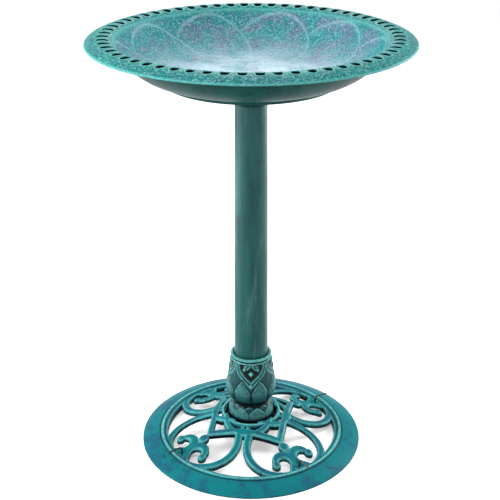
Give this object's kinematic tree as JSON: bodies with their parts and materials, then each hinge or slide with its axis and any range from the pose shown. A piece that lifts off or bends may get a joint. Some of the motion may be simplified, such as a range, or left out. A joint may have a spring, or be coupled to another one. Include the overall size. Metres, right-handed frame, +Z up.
{
  "type": "bird bath",
  "caption": "Pedestal bird bath: shallow bowl with a pierced domed rim, tapered post, lotus-bud socket, openwork base and wire ground pegs.",
  "frame": {"origin": "centre of the base's underside, on the ground", "axes": "+Z up along the post; +X to the right and +Y to the back, seen from the front"},
  "size_m": [0.502, 0.502, 0.711],
  "materials": {
    "bowl_verdigris": "cast resin, verdigris paint with dry-brushed lavender-grey patches",
    "bowl_underside": "cast resin, dark teal paint",
    "post_verdigris": "cast resin, streaked teal paint",
    "bud_verdigris": "cast resin, dark teal paint, dry-brushed on its edges",
    "base_verdigris": "cast resin, teal paint with blue-grey patches, dry-brushed on its edges",
    "zinc_steel": "dull zinc plating",
    "black_wire": "black dipped wire"
  },
  "bodies": {
    "base": {"base": "base_verdigris", "calyx_ring": "bud_verdigris", "bud_socket": "bud_verdigris", "base_bolt": "zinc_steel", "base_washer": "zinc_steel", "base_nut": "zinc_steel"},
    "post": {"post": "post_verdigris", "post_cap": "post_verdigris", "post_foot_plug": "post_verdigris"},
    "bowl": {"bowl": "bowl_verdigris", "bowl_socket": "bowl_underside", "bowl_socket_screws": "zinc_steel"},
    "peg_left": {"ground_peg_left": "black_wire"},
    "peg_right": {"ground_peg_right": "black_wire"},
    "peg_back": {"ground_peg_back": "black_wire"}
  },
  "joints": [
    {"name": "post_lift", "type": "slide", "parent": "base", "child": "post", "axis": [0, 0, 1], "range_m": [0, 0.08]},
    {"name": "bowl_lift", "type": "slide", "parent": "post", "child": "bowl", "axis": [0, 0, 1], "range_m": [0, 0.06]},
    {"name": "peg_left_pull", "type": "slide", "parent": "base", "child": "peg_left", "axis": [0, 0, 1], "range_m": [0, 0.03]},
    {"name": "peg_right_pull", "type": "slide", "parent": "base", "child": "peg_right", "axis": [0, 0, 1], "range_m": [0, 0.03]},
    {"name": "peg_back_pull", "type": "slide", "parent": "base", "child": "peg_back", "axis": [0, 0, 1], "range_m": [0, 0.03]}
  ]
}
